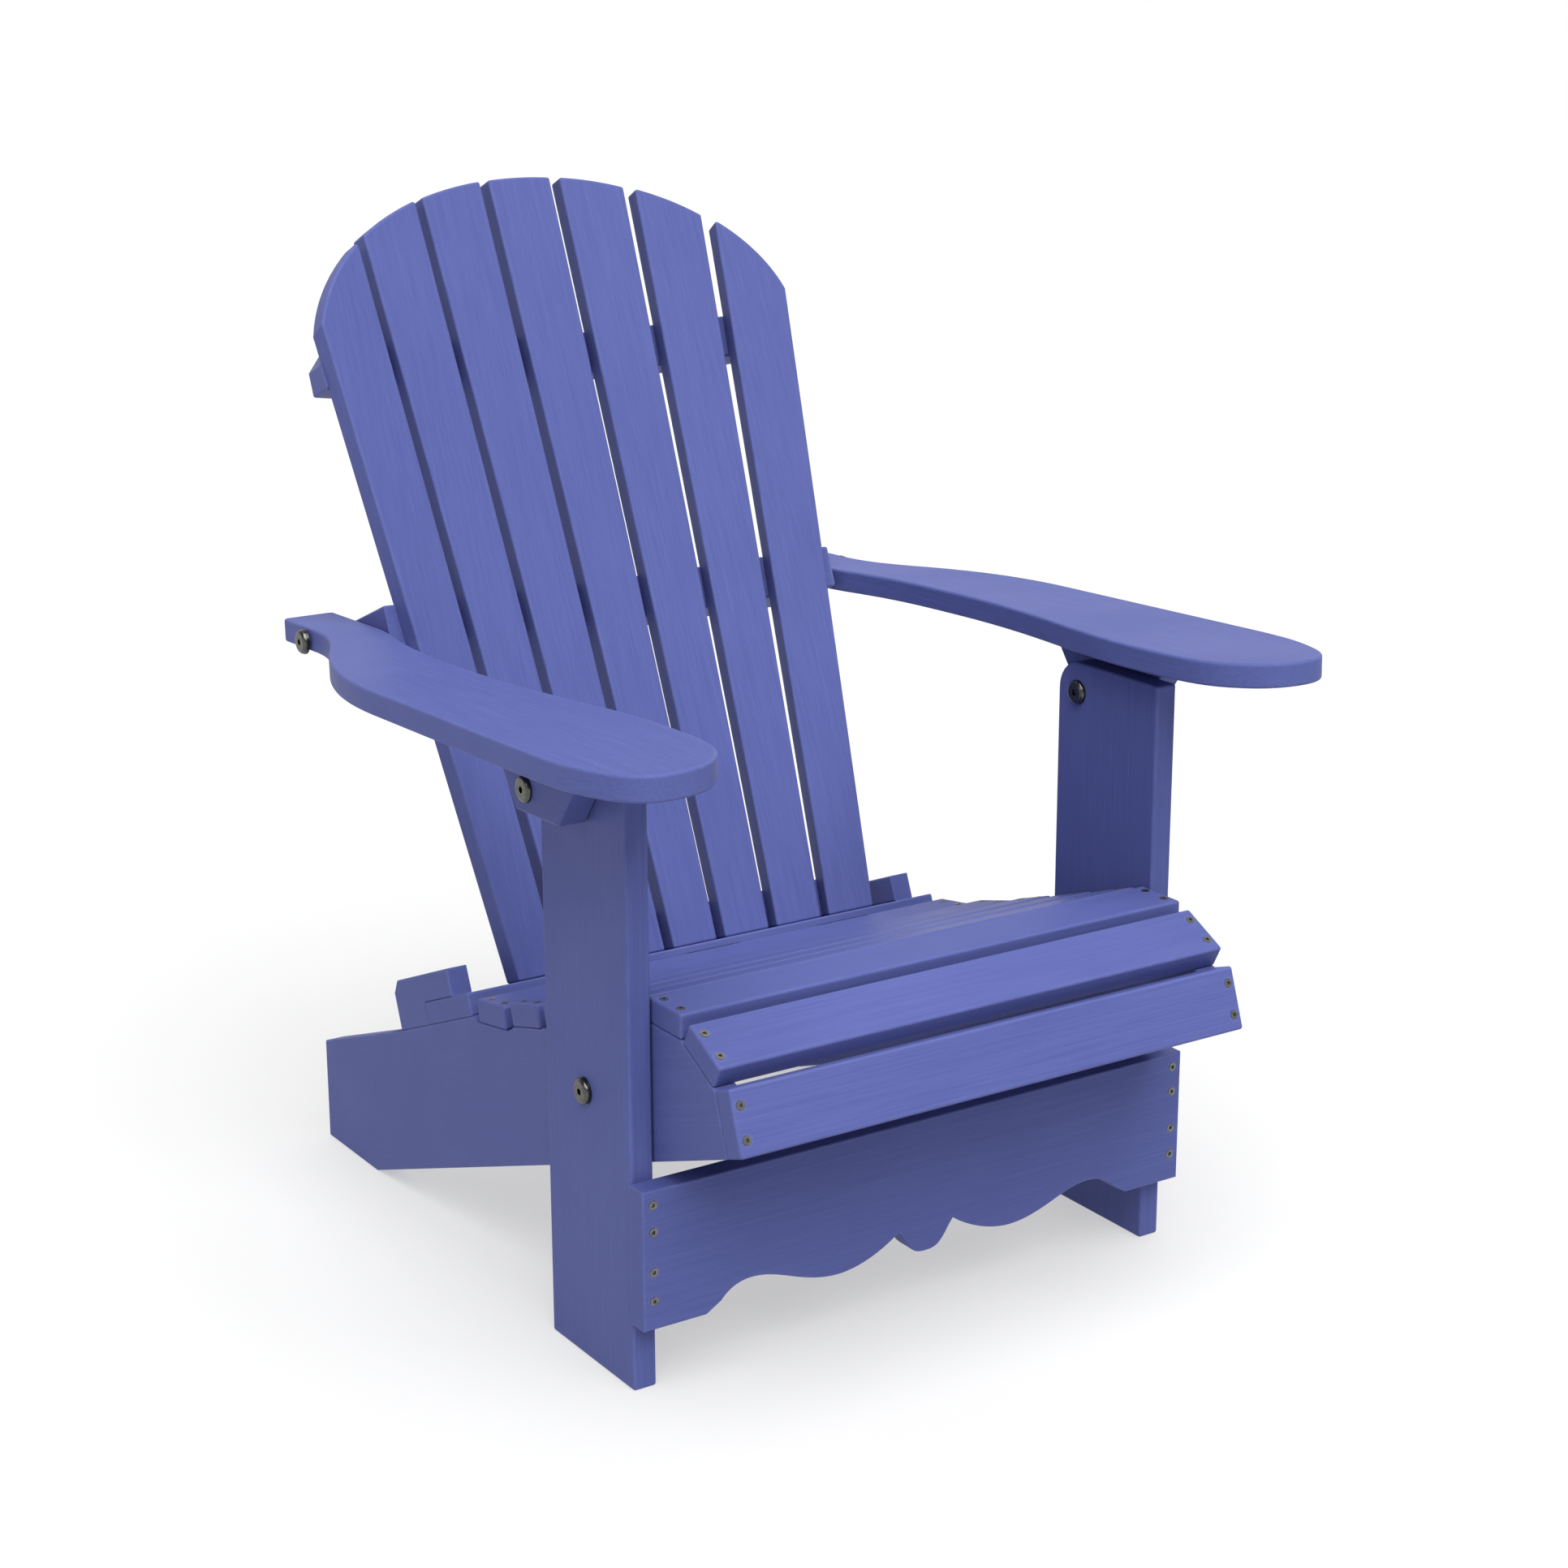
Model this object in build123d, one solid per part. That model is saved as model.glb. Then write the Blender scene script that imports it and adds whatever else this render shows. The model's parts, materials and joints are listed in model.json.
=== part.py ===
from build123d import *
import os
from math import cos, radians, sin, sqrt

# Folding garden chair of plastic-lumber boards.  Millimetres, +Z up, -Y to the front, +X to the
# sitter's left; names say left for -X and right for +X, as seen from the front.  The pieces are drawn
# with y = 0 on the front faces of the front legs and moved at the end so that the origin lies on the
# ground under the middle of the chair.

# ------------------------------------------------------------------ driving dimensions
BOARD = 22.0             # thickness of every board
EDGE = 2.5               # rounding of the boards' edges
ORIGIN_Y = 282.0         # from the front legs' faces to the middle of the chair
RUNNING = 0.05           # radial play of a bolt or pin that turns in its hole
SCREW_PLAY = 0.15        # radial play round a screw

# Front legs and skirt board
LEG_OUTER = 286.0
LEG_WIDTH = 139.5
LEG_HEIGHT = 533.0
LEG_TOP_RADIUS = 28.0
PIVOT_A = (73.5, 247.0)      # leg to side rail (y, z)
PIVOT_B = (111.5, 505.0)     # leg to armrest bracket
SKIRT_HALF = 288.0
SKIRT_LOW, SKIRT_HIGH = 64.0, 189.0

# Side rails and seat
RAIL_OUTER = 262.0
RAIL_REAR = 650.0
FOOT_FRONT = 541.0
SLAT_HALF = 262.0
SCREW_INSET = 8.0
SLAT_WIDTH = 52.0

# Back, drawn upright in its own frame: x, n to the rear, s up the back
BACK_LEAN = 22.27
BACK_FOOT = (345.8, 244.6)   # (y, z) of n = 0, s = 0
BACK_COUNT = 7
BACK_TOP = 776.0
BACK_SHOULDER = 632.0
CROWN_HALF, CROWN_RISE = 265.0, 183.0
PITCH_LOW, PITCH_GROWTH = 58.6, 0.02605
WIDTH_LOW, WIDTH_GROWTH = 48.6, 0.02605
DISH_LOW, DISH_GROWTH = 13.0, 0.034
TWIST_STEP = 3.2
SILL_FRONT, SILL_REAR = -15.5, 79.5
UPPER_BATTEN = (577.0, 619.0)
ARM_BEAM = (326.0, 368.0)
LOWER_BATTEN = (0.0, 38.0)
PIVOT_C = (354.0, 83.0)      # (s, n) of the armrest bolt in the arm beam
HINGE = (318.0, 240.5)       # (y, z) of the back hinge's pins
HINGE_CENTRES = (-150.0, 0.0, 150.0)

# Armrests
ARM_TILT = 1.846
ARM_TOP = 572.0
TONGUE_INNER, TONGUE_OUTER = 250.0, 305.0
BRACKET_INNER, BRACKET_OUTER = 286.5, 314.0
BRACKET_HEIGHT = 62.5

# Fasteners
SCREW_HEAD_R, SCREW_SHANK_R, SCREW_LENGTH = 4.0, 2.0, 45.0
BOLT_R, BOLT_HEAD_R, BOLT_HEAD = 4.0, 11.5, 4.5
BOLT_END = 205.0         # x where an armrest bolt ends inside the arm support rail
WASHER_R, WASHER = 12.0, 1.2
SPACER = 1.6             # ring between a front leg and its side rail
NUT_R, NUT = 7.5, 7.0
BACK_SCREW = 36.0        # screws of the back and its sill
HINGE_SCREW, HINGE_HEAD_R = 16.0, 3.0
BRACKET_SCREW = 70.0     # screws up through a bracket into its armrest
PROUD = 0.4               # how far a screw head stands proud of its board

BACK_FRAME = Pos(0, *BACK_FOOT) * Rot(-BACK_LEAN, 0, 0)
ARM_FRAME = Pos(0, 0, ARM_TOP) * Rot(-ARM_TILT, 0, 0)
NODES = {}


# ------------------------------------------------------------------ shared tools
def soften(solid, radius=EDGE):
    """Round every edge of a board."""
    return fillet(solid.edges(), radius)


def side_board(outline, x_low, x_high, radius=EDGE):
    """A board that stands across X, from its (y, z) outline, with its rims rounded."""
    face = make_face(Polyline(*outline, close=True))
    blank = extrude(Plane.YZ.offset(x_low) * face, x_high - x_low)
    rims = blank.faces().sort_by(Axis.X)[0].edges() + blank.faces().sort_by(Axis.X)[-1].edges()
    return fillet(rims, radius)


def mirrored(shape):
    return mirror(shape, about=Plane.YZ)


def aimed(point, direction):
    """Location whose +Z looks along direction."""
    return Plane(origin=point, z_dir=direction).location


def screw(length=SCREW_LENGTH, head_r=SCREW_HEAD_R):
    """Square-drive screw: head top at z = PROUD, shank down -Z."""
    head = Pos(0, 0, PROUD - 1.2) * Cylinder(head_r, 2.4)
    shank = Pos(0, 0, -length / 2) * Cylinder(SCREW_SHANK_R, length)
    tip = Pos(0, 0, -length - 2) * Cone(0.6, SCREW_SHANK_R, 4)
    drive = Pos(0, 0, PROUD - 0.6) * Box(3, 3, 1.8)
    return head + shank + tip - drive


def screw_hole(length=SCREW_LENGTH, head_r=SCREW_HEAD_R):
    depth = length + 4 + SCREW_PLAY
    head = Pos(0, 0, -0.5) * Cylinder(head_r + SCREW_PLAY, 3.2)
    return head + Pos(0, 0, -depth / 2) * Cylinder(SCREW_SHANK_R + SCREW_PLAY, depth)


def drill(shape, places, hole):
    for place in places:
        shape = shape - place * hole
    return shape


def group(places, piece):
    return Compound(children=[place * piece for place in places])


def bolt(length, radius=BOLT_R):
    """Button-head bolt: the head sits on z = 0, the shank runs down -Z."""
    dome = extrude(Circle(BOLT_HEAD_R), BOLT_HEAD)
    dome = fillet(dome.faces().sort_by(Axis.Z)[-1].edges(), BOLT_HEAD * 0.8)
    socket = Pos(0, 0, BOLT_HEAD) * extrude(RegularPolygon(3.2, 6), -3.0)
    shank = Pos(0, 0, -length / 2) * Cylinder(radius, length)
    return dome + shank - socket


def washer(thickness):
    return Cylinder(WASHER_R, thickness) - Cylinder(BOLT_R + RUNNING, 2 * thickness)


# ------------------------------------------------------------------ seat frame
SEAT_A = ((-114.1, 304.9), (-132.5, 251.6))    # outer face of the upright front slat, top to bottom
SEAT_B = ((-54.9, 341.2), (-100.9, 317.6))     # outer face of the nosing slat, rear to front
SEAT_FLAT = ((9.0, 345.5), (-43.0, 345.5))


def top_line(rear_y, rear_z, slope):
    """Outer face of a seat slat from its rear top edge, rising to the front by slope degrees."""
    front = (rear_y - SLAT_WIDTH * cos(radians(slope)), rear_z + SLAT_WIDTH * sin(radians(slope)))
    return ((rear_y, rear_z), front)


SEAT_FACES = (
    SEAT_A,
    SEAT_B,
    SEAT_FLAT,
    top_line(69.0, 324.8, 18.8),
    top_line(129.4, 304.2, 18.8),
    top_line(189.6, 283.9, 18.8),
    top_line(250.2, 266.0, 15.0),
    top_line(313.2, 250.4, 9.0),
)


def slat_frame(face):
    """Frame in a slat's outer face: origin at its middle, local y up the face, z outwards."""
    (y0, z0), (y1, z1) = face
    up_face = Vector(0, y0 - y1, z0 - z1).normalized()
    outwards = Vector(1, 0, 0).cross(up_face)
    middle = Vector(0, (y0 + y1) / 2, (z0 + z1) / 2)
    return Plane(origin=middle, x_dir=Vector(1, 0, 0), z_dir=outwards).location


def slat_width(face):
    (y0, z0), (y1, z1) = face
    return sqrt((y0 - y1) ** 2 + (z0 - z1) ** 2)


def underside(face):
    """The two ends of a slat's inner face."""
    (y0, z0), (y1, z1) = face
    width = slat_width(face)
    dy, dz = (z0 - z1) / width * BOARD, (y0 - y1) / width * BOARD
    return (y0 + dy, z0 - dz), (y1 + dy, z1 - dz)


def rail_outline():
    """Side rail: floor edge, straight belly, bearings of the seat slats, straight tail."""
    a_top, a_bottom = underside(SEAT_A)
    b_rear, b_front = underside(SEAT_B)
    c_rear, c_front = underside(SEAT_FLAT)
    slope_4 = underside(SEAT_FACES[3])[1]
    slope_6 = underside(SEAT_FACES[5])[0]
    slope_7 = underside(SEAT_FACES[6])[0]
    slope_8 = underside(SEAT_FACES[7])
    return [
        (FOOT_FRONT, 0), (RAIL_REAR, 0), (RAIL_REAR, 103), (475, 168.4), (321, 231.5), (315, 228.0),
        slope_8[0], (slope_8[1][0] - 5, slope_8[1][1] + 1), slope_7, slope_6, slope_4,
        c_rear, c_front, b_rear, b_front, a_top, a_bottom,
    ]


seat_places = []
for face in SEAT_FACES:
    frame = slat_frame(face)
    for side in (-1, 1):
        for height in (-0.25, 0.25):
            seat_places.append(frame * Pos(side * (SLAT_HALF - SCREW_INSET), height * slat_width(face), 0))

bolt_a = [Pos(side * (LEG_OUTER + WASHER), *PIVOT_A) * Rot(0, side * 90, 0) for side in (-1, 1)]
A_LENGTH = LEG_OUTER + WASHER - (RAIL_OUTER - BOARD) + NUT + 2.0


def seat_frame():
    hole = screw_hole()
    for number, face in enumerate(SEAT_FACES, 1):
        blank = Pos(0, 0, -BOARD / 2) * Box(2 * SLAT_HALF, slat_width(face), BOARD)
        slat = slat_frame(face) * soften(blank)
        near = seat_places[(number - 1) * 4: number * 4]
        NODES[f"seat_slat_{number}"] = drill(slat, near, hole)
    rail = side_board(rail_outline(), RAIL_OUTER - BOARD, RAIL_OUTER, 2.0)
    for face in SEAT_FACES:
        bearing = Pos(0, 0, -BOARD / 2) * Box(2 * SLAT_HALF + 10, slat_width(face) + 6, BOARD)
        rail -= slat_frame(face) * bearing
    rail -= BACK_FRAME * Pos(0, 75, BOARD) * Box(2 * SLAT_HALF + 10, 182, 4 * BOARD)
    rail -= Pos(RAIL_OUTER, *PIVOT_A) * Rot(0, 90, 0) * Cylinder(BOLT_R + RUNNING, 4 * BOARD)
    right = drill(rail, [p for p in seat_places if p.position.X > 0], hole)
    NODES["right_side_rail"] = right
    NODES["left_side_rail"] = mirrored(right)
    NODES["seat_screws"] = group(seat_places, screw())
    NODES["leg_pivot_bolts"] = group(bolt_a, bolt(A_LENGTH))
    spots = [Pos(side * (LEG_OUTER + WASHER / 2), *PIVOT_A) * Rot(0, 90, 0) for side in (-1, 1)]
    NODES["leg_pivot_washers"] = group(spots, washer(WASHER))
    spots = [Pos(side * (RAIL_OUTER + SPACER / 2), *PIVOT_A) * Rot(0, 90, 0) for side in (-1, 1)]
    NODES["leg_pivot_spacers"] = group(spots, washer(SPACER))
    nut = extrude(RegularPolygon(NUT_R, 6), NUT) - Cylinder(BOLT_R + RUNNING, 3 * NUT)
    spots = [Pos(side * (RAIL_OUTER - BOARD), *PIVOT_A) * Rot(0, -side * 90, 0) for side in (-1, 1)]
    NODES["leg_pivot_nuts"] = group(spots, nut)


# ------------------------------------------------------------------ back hinge
KNUCKLE_R, PIN_R, KNUCKLE_GAP = 4.2, 2.0, 10.3
LEAF, LEAF_WIDTH, LEAF_TALL, LEAF_DROP = 1.6, 60.0, 12.0, -2.0


def hinge_leaf(face_frame, spans, centre_x):
    """Leaf on a board's edge with knuckles round the pin.  face_frame: z looks off the board."""
    leaf = face_frame * Pos(centre_x, LEAF_DROP, LEAF / 2) * Box(LEAF_WIDTH, LEAF_TALL, LEAF)
    pin_point = face_frame.inverse() * Pos(0, *HINGE)
    reach_y, reach_z = pin_point.position.Y, pin_point.position.Z
    for low, high in spans:
        middle = Pos(centre_x + (low + high) / 2, 0, 0)
        web = face_frame * middle * Pos(0, reach_y, reach_z / 2) * Box(high - low, 3, reach_z)
        tube = middle * Pos(0, *HINGE) * Rot(0, 90, 0) * Cylinder(KNUCKLE_R, high - low)
        leaf = leaf + web + tube
    bore = Pos(centre_x, *HINGE) * Rot(0, 90, 0) * Cylinder(PIN_R + RUNNING, LEAF_WIDTH + 2)
    return leaf - bore


def edge_frame(low_point, high_point, facing):
    """Frame on a board's long edge between two (y, z) corners, z looking along facing in y."""
    low, high = Vector(0, *low_point), Vector(0, *high_point)
    along = (high - low).normalized()
    outwards = Vector(1, 0, 0).cross(along) * (1 if facing < 0 else -1)
    return Plane(origin=(low + high) / 2, x_dir=Vector(1, 0, 0), z_dir=outwards).location


def back_point(n, s):
    """(y, z) of a point of the back's own frame."""
    lean = radians(BACK_LEAN)
    return (BACK_FOOT[0] + n * cos(lean) + s * sin(lean), BACK_FOOT[1] - n * sin(lean) + s * cos(lean))


def hinges():
    seat_edge = edge_frame(underside(SEAT_FACES[7])[0], SEAT_FACES[7][0], 1)
    sill_edge = edge_frame(back_point(SILL_FRONT, -BOARD), back_point(SILL_FRONT, 0), -1)
    half = LEAF_WIDTH / 2
    outer = ((-half, -KNUCKLE_GAP), (KNUCKLE_GAP, half))
    inner = ((-KNUCKLE_GAP + 0.6, KNUCKLE_GAP - 0.6),)
    screw_x = (-20.0, 20.0)
    small_screw = screw(HINGE_SCREW, HINGE_HEAD_R)
    small_hole = screw_hole(HINGE_SCREW, HINGE_HEAD_R)
    seat_spots = [seat_edge * Pos(c + x, -4, LEAF) for c in HINGE_CENTRES for x in screw_x]
    sill_spots = [sill_edge * Pos(c + x, -4, LEAF) for c in HINGE_CENTRES for x in screw_x]
    seat_leaves = [drill(hinge_leaf(seat_edge, outer, c), seat_spots, small_hole) for c in HINGE_CENTRES]
    back_leaves = [drill(hinge_leaf(sill_edge, inner, c), sill_spots, small_hole) for c in HINGE_CENTRES]
    NODES["seat_hinge_leaves"] = Compound(children=seat_leaves)
    NODES["back_hinge_leaves"] = Compound(children=back_leaves)
    pins = [Pos(c, *HINGE) * Rot(0, 90, 0) for c in HINGE_CENTRES]
    NODES["hinge_pins"] = group(pins, Cylinder(PIN_R, LEAF_WIDTH))
    NODES["seat_hinge_screws"] = group(seat_spots, small_screw)
    NODES["back_hinge_screws"] = group(sill_spots, small_screw)
    NODES["seat_slat_8"] = drill(NODES["seat_slat_8"], seat_spots, small_hole)
    return drill(NODES["back_sill"], sill_spots, small_hole)


# ------------------------------------------------------------------ back
def dish(x, s):
    """How far the back's front is set to the rear of its outer edges."""
    half = PITCH_LOW * 3 + WIDTH_LOW / 2 + 3 * PITCH_GROWTH * s + WIDTH_GROWTH * s / 2
    return (DISH_LOW + DISH_GROWTH * s) * (1 - (x / half) ** 2)


def slat_x(offset, s):
    """Where a fan slat's middle line stands at height s."""
    return offset * (PITCH_LOW + PITCH_GROWTH * s)


def back_slat_frame(offset):
    """Frame of one fan slat: y up the slat, z off its front face, origin at its foot."""
    x_low, x_top = slat_x(offset, 0), slat_x(offset, BACK_TOP)
    foot = Vector(x_low, dish(x_low, 0), 0)
    head = Vector(x_top, dish(x_top, BACK_TOP), BACK_TOP)
    along = (head - foot).normalized()
    turn = radians(TWIST_STEP * offset)
    across = Vector(cos(turn), -sin(turn), 0)
    across = (across - along * across.dot(along)).normalized()
    return Plane(origin=foot, x_dir=across, z_dir=across.cross(along)).location


def slat_blank(offset):
    low, high = -30.0, 830.0
    half_low = (WIDTH_LOW + WIDTH_GROWTH * low) / 2
    half_high = (WIDTH_LOW + WIDTH_GROWTH * high) / 2
    outline = [(-half_low, low), (half_low, low), (half_high, high), (-half_high, high)]
    board = extrude(make_face(Polyline(*outline, close=True)), -BOARD)
    return back_slat_frame(offset) * board


def crown():
    """The fan's outline as a thick block: elliptical top, its ends run on along their tangents."""
    wall = Plane.XZ.offset(-150)
    top = wall * Pos(0, BACK_TOP - CROWN_RISE) * Ellipse(CROWN_HALF, CROWN_RISE)
    end_x = CROWN_HALF * sqrt(1 - ((BACK_TOP - CROWN_RISE - BACK_SHOULDER) / CROWN_RISE) ** 2)
    slope = CROWN_RISE ** 2 * end_x / (CROWN_HALF ** 2 * (BACK_SHOULDER - BACK_TOP + CROWN_RISE))
    wide = 330.0
    side_s = BACK_SHOULDER - slope * (wide - end_x)
    outline = [(-wide, 0), (wide, 0), (wide, side_s), (end_x, BACK_SHOULDER), (-end_x, BACK_SHOULDER),
               (-wide, side_s)]
    sides = wall * make_face(Polyline(*outline, close=True))
    return extrude(top, 260) + extrude(sides, 260)


def beam(span, half, ends_n, rear_n, rear_half):
    """Cross board of the back: level, dished front, straight rear with bevelled ends."""
    low, high = span
    middle = (low + high) / 2
    front = dish(0, middle) + BOARD - 1.0
    start = dish(half, middle) if half < 250 else 0.0
    arc = ThreePointArc((-half, start + BOARD - 1.0), (0, front), (half, start + BOARD - 1.0))
    rest = Polyline((half, start + BOARD - 1.0), (half, ends_n), (rear_half, rear_n),
                    (-rear_half, rear_n), (-half, ends_n), (-half, start + BOARD - 1.0))
    blank = extrude(Pos(0, 0, low) * make_face(Curve() + [arc, rest]), high - low)
    return fillet(blank.edges().group_by(Axis.Z)[0] + blank.edges().group_by(Axis.Z)[-1], EDGE)


def back_screw_places(span, depth_from_front, reach):
    """Screws from the rear of a cross board into the slats up to reach places off the middle one."""
    height = sum(span) / 2
    places = []
    for offset in range(-reach, reach + 1):
        x = slat_x(offset, height)
        n = dish(x, height) + BOARD + depth_from_front
        places.append(Pos(x, n, height) * Rot(-90, 0, 0))
    return places


def block_outline():
    return [(19, 0), (19, 26), (133, 26), (144, 15), (145, -BOARD), (SILL_REAR, -BOARD), (SILL_REAR, 0)]


def back_assembly():
    limit = crown()
    blanks = [slat_blank(offset) for offset in range(-3, 4)]
    upper = beam(UPPER_BATTEN, 258, 54, 86, 190)
    for side in (-1, 1):
        upper -= Pos(side * 262, 60, UPPER_BATTEN[1] + 2) * Rot(0, side * 45, 0) * Box(60, 120, 34)
    arm = beam(ARM_BEAM, 249, 111, 111, 240)
    lower = beam(LOWER_BATTEN, 168, 75, 75, 160)
    beams = {"upper_back_batten": upper, "arm_support_rail": arm, "lower_back_batten": lower}
    for name in beams:
        for blank in blanks:
            beams[name] = beams[name] - blank
        solids = beams[name].solids().sort_by(SortBy.VOLUME)
        beams[name] = solids[-1]

    grip = 24.0
    screws = []
    hole = screw_hole(BACK_SCREW)
    deep_hole = Pos(0, 0, 60) * Cylinder(SCREW_HEAD_R + 0.8, 120)
    for name, span, reach in (("upper_back_batten", UPPER_BATTEN, 3), ("arm_support_rail", ARM_BEAM, 3),
                              ("lower_back_batten", LOWER_BATTEN, 2)):
        places = back_screw_places(span, grip, reach)
        screws += places
        beams[name] = drill(drill(beams[name], places, hole), places, deep_hole)

    for number, blank in enumerate(blanks, 1):
        slat = soften((blank & limit).solids()[0])
        near = [place for place in screws
                if abs(place.position.X - slat_x(number - 4, place.position.Z)) < 1]
        NODES[f"back_slat_{number}"] = BACK_FRAME * drill(slat, near, hole)
    NODES["back_slat_screws"] = BACK_FRAME * group(screws, screw(BACK_SCREW))

    sill_box = Box(2 * SLAT_HALF, SILL_REAR - SILL_FRONT, BOARD)
    sill = soften(Pos(0, (SILL_FRONT + SILL_REAR) / 2, -BOARD / 2) * sill_box, 2.0)
    block = side_board(block_outline(), RAIL_OUTER - BOARD, RAIL_OUTER, 2.0)
    sunk = Rot(180, 0, 0) * Pos(0, 0, -PROUD - 0.2)
    up_places = [Pos(side * (RAIL_OUTER - BOARD / 2), n, -BOARD) * sunk
                 for side in (-1, 1) for n in (35.0, 62.0)]
    up_places += [Pos(x, 58.0, -BOARD) * sunk for x in (-145, -50, 50, 145)]
    up_hole = screw_hole(BACK_SCREW)
    NODES["back_sill"] = BACK_FRAME * drill(sill, up_places, up_hole)
    NODES["back_sill"] = hinges()
    beams["lower_back_batten"] = drill(beams["lower_back_batten"], up_places, up_hole)
    right = drill(block, up_places, up_hole)
    NODES["right_back_block"] = BACK_FRAME * right
    NODES["left_back_block"] = BACK_FRAME * mirrored(right)
    NODES["back_sill_screws"] = BACK_FRAME * group(up_places, screw(BACK_SCREW))

    arm_bolts = [Pos(side * (TONGUE_OUTER + WASHER), PIVOT_C[1], PIVOT_C[0]) * Rot(0, side * 90, 0)
                 for side in (-1, 1)]
    length = TONGUE_OUTER + WASHER - BOLT_END
    bore = Pos(0, 0, -length / 2) * Cylinder(BOLT_R + RUNNING, length + 2)
    beams["arm_support_rail"] = drill(beams["arm_support_rail"], arm_bolts, bore)
    for name, shape in beams.items():
        NODES[name] = BACK_FRAME * shape
    NODES["arm_pivot_bolts"] = BACK_FRAME * group(arm_bolts, bolt(length))
    spots = [Pos(side * (TONGUE_OUTER + WASHER / 2), PIVOT_C[1], PIVOT_C[0]) * Rot(0, 90, 0)
             for side in (-1, 1)]
    NODES["arm_pivot_washers"] = BACK_FRAME * group(spots, washer(WASHER))


# ------------------------------------------------------------------ front legs
def scallop():
    """Half of the skirt's cut lower edge, from the middle to the right end, as (x, z) curves."""
    low = SKIRT_LOW
    return [
        Spline((0, low), (12, low + 2.5), (21, low + 12), (29.5, low + 24), tangents=((1, 0), (1, 1.2))),
        Spline((29.5, low + 24), (57, low + 9), (92, low + 1.5), (135, low + 10), (172, low + 21.5),
               (190, low + 21.5), (212, low + 9)),
        Line((212, low + 9), (227, low)),
        Line((227, low), (SKIRT_HALF, low)),
        Line((SKIRT_HALF, low), (SKIRT_HALF, SKIRT_HIGH)),
    ]


def front_legs():
    skirt_places = []
    for side in (-1, 1):
        for height in (26.0, 52.0, 88.0, 112.0):
            skirt_places.append(Pos(side * 278, -BOARD, SKIRT_LOW + height) * Rot(90, 0, 0))
    hole = screw_hole()

    right_half = Curve() + scallop()
    top = Line((-SKIRT_HALF, SKIRT_HIGH), (SKIRT_HALF, SKIRT_HIGH))
    skirt = extrude(Plane.XZ * make_face(right_half + mirrored(right_half) + top), BOARD)
    rims = skirt.faces().sort_by(Axis.Y)
    skirt = fillet(rims[0].edges() + rims[-1].edges(), 1.5)
    NODES["front_skirt"] = drill(skirt, skirt_places, hole)
    NODES["skirt_screws"] = group(skirt_places, screw())

    blank = extrude(Plane.YZ.offset(LEG_OUTER - BOARD) * Pos(LEG_WIDTH / 2, LEG_HEIGHT / 2)
                    * Rectangle(LEG_WIDTH, LEG_HEIGHT), BOARD)
    corner = blank.edges().filter_by(Axis.X).sort_by(lambda e: e.center().Y + e.center().Z)[-1]
    blank = fillet(corner, LEG_TOP_RADIUS)
    leg = soften(blank)
    for y, z in (PIVOT_A, PIVOT_B):
        leg -= Pos(LEG_OUTER, y, z) * Rot(0, 90, 0) * Cylinder(BOLT_R + RUNNING, 3 * BOARD)
    right = drill(leg, [p for p in skirt_places if p.position.X > 0], hole)
    NODES["right_front_leg"] = right
    NODES["left_front_leg"] = mirrored(right)
    sleeves = [Pos(side * (LEG_OUTER - BOARD), *PIVOT_B) * Rot(0, -side * 90, 0) for side in (-1, 1)]
    NODES["leg_barrel_nuts"] = group(sleeves, bolt(BOARD))


# ------------------------------------------------------------------ armrests
def arm_outline():
    """Right armrest seen from above: straight tongue, flared pad, round front."""
    front = -130.0
    flare = Spline((TONGUE_OUTER - 3, 545), (336, 436), (374, 270), tangents=((0, -1), (0, -1)))
    nose_out = Spline((374, 30), (362, -92), (318, front), tangents=((0, -1), (-1, 0)))
    nose_in = Spline((318, front), (264, -104), (242, 10), tangents=((-1, 0), (0, 1)))
    inner = Spline((242, 10), (257, 150), (269, 300), tangents=((0, 1), (0, 1)))
    inner_rear = Spline((269, 300), (261, 440), (TONGUE_INNER, 505), (TONGUE_INNER, 540),
                        tangents=((0, 1), (0, 1)))
    outer = TONGUE_OUTER - 3
    return [
        Line((TONGUE_INNER, 612), (outer, 612)),
        Line((outer, 612), (outer, 545)),
        flare,
        Line((374, 270), (374, 30)),
        nose_out,
        nose_in,
        inner,
        inner_rear,
        Line((TONGUE_INNER, 540), (TONGUE_INNER, 612)),
    ]


def armrests():
    pad = extrude(make_face(Curve() + arm_outline()), -BOARD)
    corners = pad.edges().filter_by(Axis.Z).sort_by(Axis.Y)[-2:]
    pad = fillet(corners, 5)
    faces = pad.faces().sort_by(Axis.Z)
    pad = ARM_FRAME * fillet(faces[0].edges() + faces[-1].edges(), EDGE)
    c_y, c_z = back_point(PIVOT_C[1], PIVOT_C[0])
    pad -= Pos(TONGUE_OUTER, c_y, c_z) * Rot(0, 90, 0) * Cylinder(BOLT_R + RUNNING, 150)

    low = -BOARD - BRACKET_HEIGHT
    outline = [(12, -BOARD), (62, low), (132, low), (176, -BOARD)]
    bracket = ARM_FRAME * side_board(outline, BRACKET_INNER, BRACKET_OUTER)
    bracket -= Pos(BRACKET_OUTER, *PIVOT_B) * Rot(0, 90, 0) * Cylinder(BOLT_R + RUNNING, 150)
    middle = (BRACKET_INNER + BRACKET_OUTER) / 2
    places = [ARM_FRAME * Pos(middle, y, low) * Rot(180, 0, 0) for y in (84.0, 127.0)]
    hole = screw_hole(BRACKET_SCREW)
    pad = drill(pad, places, hole)
    bracket = drill(bracket, places, hole)
    head = Pos(BRACKET_OUTER, *PIVOT_B) * Rot(0, 90, 0) * bolt(BRACKET_OUTER - BRACKET_INNER)
    pieces = {"armrest": pad, "arm_bracket": bracket, "leg_bolt": head,
              "bracket_screws": group(places, screw(BRACKET_SCREW))}
    for name, shape in pieces.items():
        NODES["right_" + name] = shape
        NODES["left_" + name] = mirrored(shape)


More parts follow.
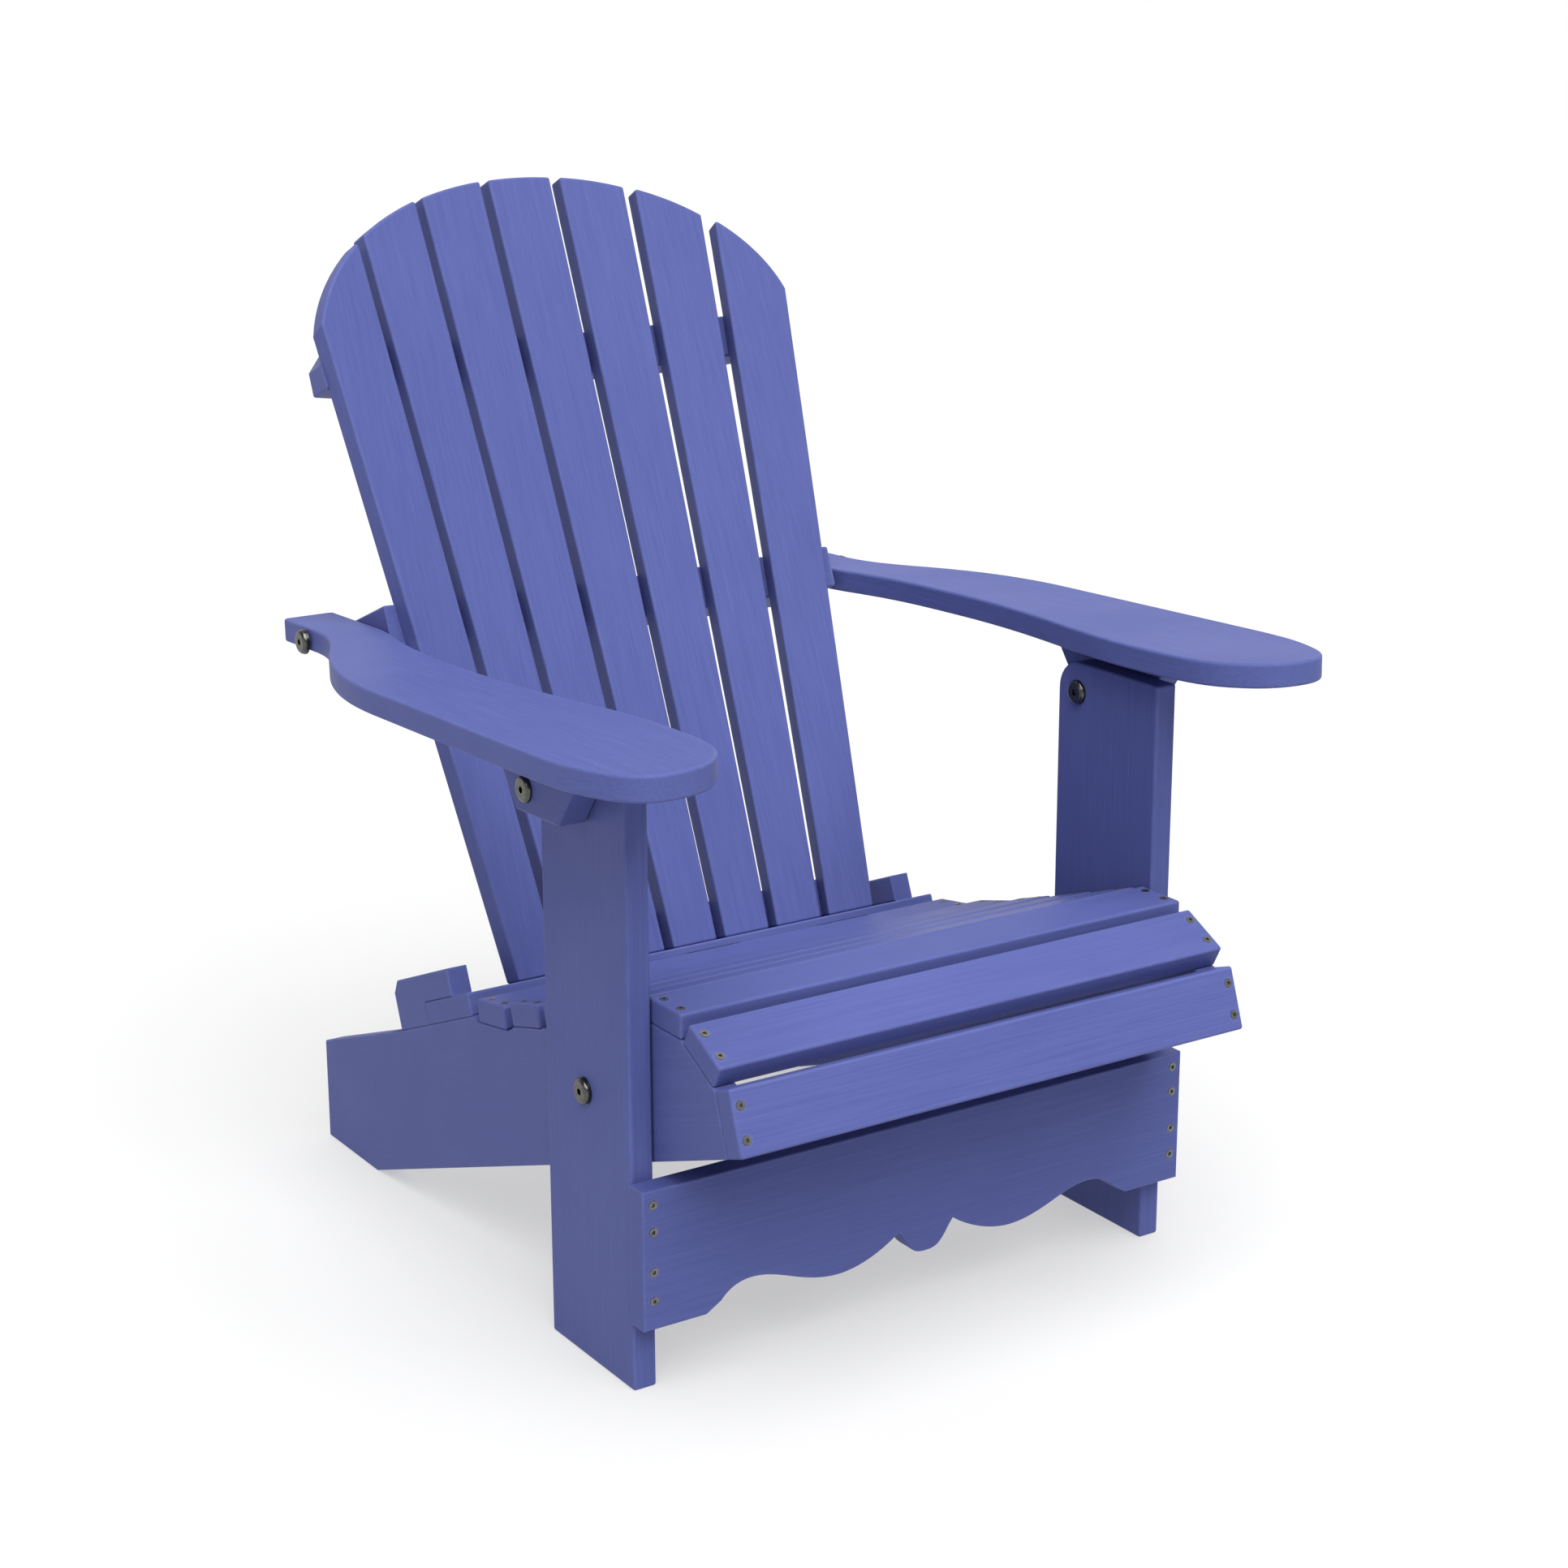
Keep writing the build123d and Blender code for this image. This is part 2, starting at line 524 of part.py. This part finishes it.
# ------------------------------------------------------------------ build and write
seat_frame()
back_assembly()
front_legs()
armrests()
os.makedirs("parts", exist_ok=True)
for name, shape in NODES.items():
    export_step(Pos(0, -ORIGIN_Y, 0) * shape, f"parts/{name}.step")
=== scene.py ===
import json
from math import radians
import bpy
from mathutils import Matrix, Vector

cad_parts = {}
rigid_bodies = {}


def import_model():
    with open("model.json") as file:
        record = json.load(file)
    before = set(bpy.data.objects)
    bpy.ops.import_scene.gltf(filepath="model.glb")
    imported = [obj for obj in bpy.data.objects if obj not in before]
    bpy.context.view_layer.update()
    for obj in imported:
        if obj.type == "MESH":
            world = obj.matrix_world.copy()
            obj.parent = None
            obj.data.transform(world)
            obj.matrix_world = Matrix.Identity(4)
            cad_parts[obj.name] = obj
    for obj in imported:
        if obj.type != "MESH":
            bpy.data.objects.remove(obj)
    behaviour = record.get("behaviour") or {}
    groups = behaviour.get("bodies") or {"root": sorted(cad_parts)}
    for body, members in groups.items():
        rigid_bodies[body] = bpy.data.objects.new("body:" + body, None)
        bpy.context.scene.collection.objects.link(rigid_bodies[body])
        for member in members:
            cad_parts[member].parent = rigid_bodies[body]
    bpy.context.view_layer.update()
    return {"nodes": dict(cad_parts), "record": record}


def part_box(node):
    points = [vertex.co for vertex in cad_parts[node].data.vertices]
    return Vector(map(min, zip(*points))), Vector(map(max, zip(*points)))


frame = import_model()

# ------------------------------------------------------------------ view and light (metres, degrees)
AZIMUTH, ELEVATION, ROLL = -33.391, 16.009, -0.136
AIM = Vector((-0.0386, -0.1373, 0.4573))
DISTANCE = 2.6
LENS, SENSOR = 67.75, 36.0

# Large soft light from above and in front, and a room that is white behind the chair and dim in front
SUN_POWER, SUN_SPREAD = 5.5, 64.0
SUN_FROM = (-0.12, -0.5, 1.0)
ROOM_DARK, ROOM_WHITE = 0.06, 1.0
BEHIND = (0.55, 0.83, 0.0)
BEHIND_START, BEHIND_FULL = -0.1, 0.7      # of the direction's part along BEHIND
BAND_TOP, BAND_FULL = 0.24, 0.16           # of the direction's height

# Linear colours of the materials
LUMBER = (0.071, 0.086, 0.252)
LUMBER_DARK = (0.053, 0.066, 0.208)
LUMBER_LIGHT = (0.094, 0.112, 0.298)
# Lighter edge colour: partly rubbed wear, partly a painted highlight of the rounded edges
LUMBER_EDGE_HIGHLIGHT_AND_WEAR = (0.140, 0.162, 0.365)
# Steel colours darker than bare steel: a painted dark reflection of the surroundings
BOLT_STEEL = (0.105, 0.105, 0.095)
SCREW_STEEL = (0.20, 0.20, 0.20)
GRIME = (0.05, 0.05, 0.045)

# Noise scales of a board per metre, along it first, then the reach of its rubbed edges with their painted
# edge highlight, and of its grain, in metres
STREAK_SCALE = (9, 420, 420)
FIBRE_SCALE = (60, 1500, 1500)
CLOUD_SCALE, EDGE_HIGHLIGHT_AND_WEAR_SCALE, SPECK_SCALE = 7.0, 38.0, 900.0
EDGE_HIGHLIGHT_AND_WEAR_REACH = 0.0035
GRAIN_DEPTH = 0.00035

# Floor: half its width, its two greys and the glow that keeps it white
FLOOR_HALF, FLOOR_DIM, FLOOR_PALE, FLOOR_GLOW = 14.0, 0.27, 0.285, 0.50

# Small light that puts a glint on the bolt heads
GLINT_FROM, GLINT_AT, GLINT_POWER = (-3.4, -0.9, 2.2), (0, 0, 0.4), 12

# Directions of the boards' grain
record = frame["record"]
foot_low, foot_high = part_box("back_slat_4")
UP_BACK = Vector((0, foot_high[1] - foot_low[1], foot_high[2] - foot_low[2])).normalized()
ALONG_X, ALONG_Y, UPRIGHT = Vector((1, 0, 0)), Vector((0, 1, 0)), Vector((0, 0, 1))
ALONG_RAIL = Vector((0, 0.939, -0.344)).normalized()


# ------------------------------------------------------------------ node helpers
class Tree:
    """The node tree of a material or a world, with short ways to add and join nodes."""

    def __init__(self, owner):
        owner.use_nodes = True
        self.owner = owner
        self.nodes = owner.node_tree.nodes
        self.links = owner.node_tree.links
        self.shader = self.nodes.get("Principled BSDF")

    def add(self, kind, inputs=None, **settings):
        node = self.nodes.new(kind)
        for key, value in settings.items():
            setattr(node, key, value)
        for key, value in (inputs or {}).items():
            if isinstance(value, bpy.types.NodeSocket):
                self.links.new(value, node.inputs[key])
            else:
                node.inputs[key].default_value = value
        return node

    def noise(self, vector, scale, detail=2.0, roughness=0.5):
        return self.add("ShaderNodeTexNoise", {"Vector": vector, "Scale": scale, "Detail": detail,
                                               "Roughness": roughness}).outputs["Fac"]

    def ramp(self, fac, low, high, to_low=0.0, to_high=1.0):
        return self.add("ShaderNodeMapRange", {"Value": fac, "From Min": low, "From Max": high,
                                               "To Min": to_low, "To Max": to_high}).outputs["Result"]

    def mix(self, fac, a, b):
        node = self.add("ShaderNodeMix", data_type="RGBA")
        for socket, value in ((0, fac), (6, a), (7, b)):
            if isinstance(value, bpy.types.NodeSocket):
                self.links.new(value, node.inputs[socket])
            else:
                node.inputs[socket].default_value = value if socket == 0 else (*value, 1.0)
        return node.outputs[2]

    def math(self, operation, a, b):
        return self.add("ShaderNodeMath", {0: a, 1: b}, operation=operation).outputs[0]


# ------------------------------------------------------------------ materials
def lumber(name, grain, shift):
    """Moulded plastic lumber: fine streaks along the board, cloudy colour, lighter edges that are partly
    rubbed wear and partly a painted highlight of their rounding.
    """
    tree = Tree(bpy.data.materials.new(name))
    place = tree.add("ShaderNodeTexCoord").outputs["Object"]
    turn = grain.rotation_difference(Vector((1, 0, 0))).to_euler()
    level = tree.add("ShaderNodeMapping", {"Vector": place, "Rotation": turn, "Location": shift})
    level = level.outputs["Vector"]
    long_way = tree.add("ShaderNodeMapping", {"Vector": level, "Scale": STREAK_SCALE}).outputs["Vector"]
    fibre_way = tree.add("ShaderNodeMapping", {"Vector": level, "Scale": FIBRE_SCALE}).outputs["Vector"]
    streak = tree.noise(long_way, 1.0, 3.0, 0.6)
    fibre = tree.noise(fibre_way, 1.0, 2.0, 0.6)
    cloud = tree.noise(level, CLOUD_SCALE, 3.0, 0.55)
    speck = tree.noise(level, SPECK_SCALE, 1.0, 0.5)

    colour = tree.mix(tree.ramp(streak, 0.3, 0.7), LUMBER_DARK, LUMBER_LIGHT)
    colour = tree.mix(0.65, colour, LUMBER)
    colour = tree.mix(tree.ramp(cloud, 0.35, 0.75, 0.0, 0.28), colour, LUMBER_DARK)
    colour = tree.mix(tree.ramp(fibre, 0.62, 0.8, 0.0, 0.35), colour, LUMBER_LIGHT)

    # Edge mask in patches: lighter edges as rubbed wear and as a painted highlight of the rounding
    soft = tree.add("ShaderNodeBevel", {"Radius": EDGE_HIGHLIGHT_AND_WEAR_REACH}, samples=4).outputs["Normal"]
    sharp = tree.add("ShaderNodeNewGeometry").outputs["Normal"]
    along = tree.add("ShaderNodeVectorMath", {0: soft, 1: sharp}, operation="DOT_PRODUCT").outputs["Value"]
    edge = tree.ramp(along, 0.995, 0.86)
    patchy = tree.ramp(tree.noise(level, EDGE_HIGHLIGHT_AND_WEAR_SCALE, 3.0, 0.6), 0.38, 0.66, 0.15, 0.75)
    colour = tree.mix(tree.math("MULTIPLY", edge, patchy), colour, LUMBER_EDGE_HIGHLIGHT_AND_WEAR)
    tree.links.new(colour, tree.shader.inputs["Base Color"])

    gloss = tree.ramp(streak, 0.25, 0.75, 0.44, 0.58)
    gloss = tree.math("ADD", gloss, tree.ramp(cloud, 0.3, 0.7, -0.04, 0.04))
    tree.links.new(gloss, tree.shader.inputs["Roughness"])
    height = tree.math("ADD", streak, tree.math("MULTIPLY", fibre, 0.6))
    height = tree.math("ADD", height, tree.math("MULTIPLY", speck, 0.25))
    bump = tree.add("ShaderNodeBump", {"Height": height, "Strength": 0.5, "Distance": GRAIN_DEPTH})
    tree.links.new(bump.outputs["Normal"], tree.shader.inputs["Normal"])
    tree.shader.inputs["IOR"].default_value = 1.5
    tree.shader.inputs["Specular IOR Level"].default_value = 0.09
    return tree.owner


def stainless(name, steel, roughness):
    """Satin stainless steel, its colour kept dark as a painted dark reflection, with fine turning marks
    and a little grime.
    """
    tree = Tree(bpy.data.materials.new(name))
    place = tree.add("ShaderNodeTexCoord").outputs["Object"]
    fine = tree.noise(place, 2600.0, 2.0, 0.6)
    grime = tree.noise(place, 320.0, 3.0, 0.6)
    colour = tree.mix(tree.ramp(grime, 0.42, 0.7, 0.0, 0.6), steel, GRIME)
    tree.links.new(colour, tree.shader.inputs["Base Color"])
    gloss = tree.ramp(grime, 0.3, 0.7, roughness, roughness + 0.2)
    tree.links.new(gloss, tree.shader.inputs["Roughness"])
    bump = tree.add("ShaderNodeBump", {"Height": fine, "Strength": 0.25, "Distance": 0.0001})
    tree.links.new(bump.outputs["Normal"], tree.shader.inputs["Normal"])
    tree.shader.inputs["Metallic"].default_value = 1.0
    return tree.owner


GRAINS = {"along_x": ALONG_X, "along_y": ALONG_Y, "upright": UPRIGHT, "up_back": UP_BACK,
          "along_rail": ALONG_RAIL}


def grain_of(node):
    if "back_slat_" in node:
        return "up_back"
    if "armrest" in node or "bracket" in node:
        return "along_y"
    if "leg" in node:
        return "upright"
    if "rail" in node and "side" in node or "block" in node:
        return "along_rail"
    return "along_x"


def dress():
    slots = {entry["node"]: entry["material_slot"] for entry in record["subparts"]}
    bolt_steel = stainless("stainless_bolt", BOLT_STEEL, 0.16)
    screw_steel = stainless("stainless_screw", SCREW_STEEL, 0.34)
    boards = {}
    for number, node in enumerate(sorted(frame["nodes"])):
        piece = bpy.data.objects[node]
        if slots[node] == "stainless":
            finish = screw_steel if "screw" in node else bolt_steel
        else:
            grain = grain_of(node)
            variant = (grain, number % 4)
            if variant not in boards:
                shift = (1.7 * (number % 4), 0.9 * (number % 4) + 0.3, 0.4)
                boards[variant] = lumber(f"lumber_{grain}_{number % 4}", GRAINS[grain], shift)
            finish = boards[variant]
        for slot in piece.material_slots:
            slot.material = finish


# ------------------------------------------------------------------ floor, light and camera
def floor():
    half = FLOOR_HALF
    corners = [(-half, -half, 0), (half, -half, 0), (half, half, 0), (-half, half, 0)]
    mesh = bpy.data.meshes.new("floor")
    mesh.from_pydata(corners, [], [(0, 1, 2, 3)])
    ground = bpy.data.objects.new("floor", mesh)
    bpy.context.collection.objects.link(ground)
    tree = Tree(bpy.data.materials.new("floor"))
    place = tree.add("ShaderNodeTexCoord").outputs["Object"]
    colour = tree.mix(tree.noise(place, 3.0, 3.0), (FLOOR_DIM,) * 3, (FLOOR_PALE,) * 3)
    tree.links.new(colour, tree.shader.inputs["Base Color"])
    tree.shader.inputs["Roughness"].default_value = 0.85
    tree.shader.inputs["Emission Color"].default_value = (1.0, 1.0, 1.0, 1.0)
    tree.shader.inputs["Emission Strength"].default_value = FLOOR_GLOW
    tree.shader.inputs["Specular IOR Level"].default_value = 0.2
    mesh.materials.append(tree.owner)


def area_light(name, place, aim, size, power):
    data = bpy.data.lights.new(name, "AREA")
    data.shape = "RECTANGLE"
    data.size, data.size_y = size
    data.energy = power
    lamp = bpy.data.objects.new(name, data)
    lamp.location = place
    lamp.rotation_euler = (Vector(place) - Vector(aim)).to_track_quat("Z", "Y").to_euler()
    bpy.context.collection.objects.link(lamp)


def backdrop(world):
    """World light: white behind the chair and in a band above the floor's edge, dim elsewhere."""
    tree = Tree(world)
    way = tree.add("ShaderNodeTexCoord").outputs["Generated"]
    facing = tree.add("ShaderNodeVectorMath", {0: way, 1: BEHIND}, operation="DOT_PRODUCT")
    height = tree.add("ShaderNodeSeparateXYZ", {0: way})
    behind = tree.ramp(facing.outputs["Value"], BEHIND_START, BEHIND_FULL)
    band = tree.ramp(height.outputs["Z"], BAND_TOP, BAND_FULL)
    strength = tree.ramp(tree.math("MAXIMUM", behind, band), 0.0, 1.0, ROOM_DARK, ROOM_WHITE)
    background = tree.nodes["Background"]
    background.inputs["Color"].default_value = (1.0, 1.0, 1.0, 1.0)
    tree.links.new(strength, background.inputs["Strength"])


def lights():
    sun = bpy.data.lights.new("softbox", "SUN")
    sun.energy, sun.angle = SUN_POWER, radians(SUN_SPREAD)
    lamp = bpy.data.objects.new("softbox", sun)
    lamp.rotation_euler = Vector(SUN_FROM).to_track_quat("Z", "Y").to_euler()
    bpy.context.collection.objects.link(lamp)
    area_light("glint", GLINT_FROM, GLINT_AT, (0.5, 0.4), GLINT_POWER)
    world = bpy.data.worlds.new("studio")
    bpy.context.scene.world = world
    backdrop(world)
    view = bpy.context.scene.view_settings
    view.view_transform = "Standard"
    view.look = "None"
    view.exposure = 0.0


def camera():
    data = bpy.data.cameras.new("camera")
    data.lens, data.sensor_width = LENS, SENSOR
    data.clip_start = 0.05
    eye = bpy.data.objects.new("camera", data)
    turn = Matrix.Rotation(radians(AZIMUTH), 4, "Z") @ Matrix.Rotation(radians(90 - ELEVATION), 4, "X")
    turn = turn @ Matrix.Rotation(radians(ROLL), 4, "Z")
    away = turn.to_3x3() @ Vector((0, 0, 1))
    eye.matrix_world = Matrix.Translation(AIM + away * DISTANCE) @ turn
    bpy.context.collection.objects.link(eye)
    bpy.context.scene.camera = eye


camera()
lights()
floor()
dress()
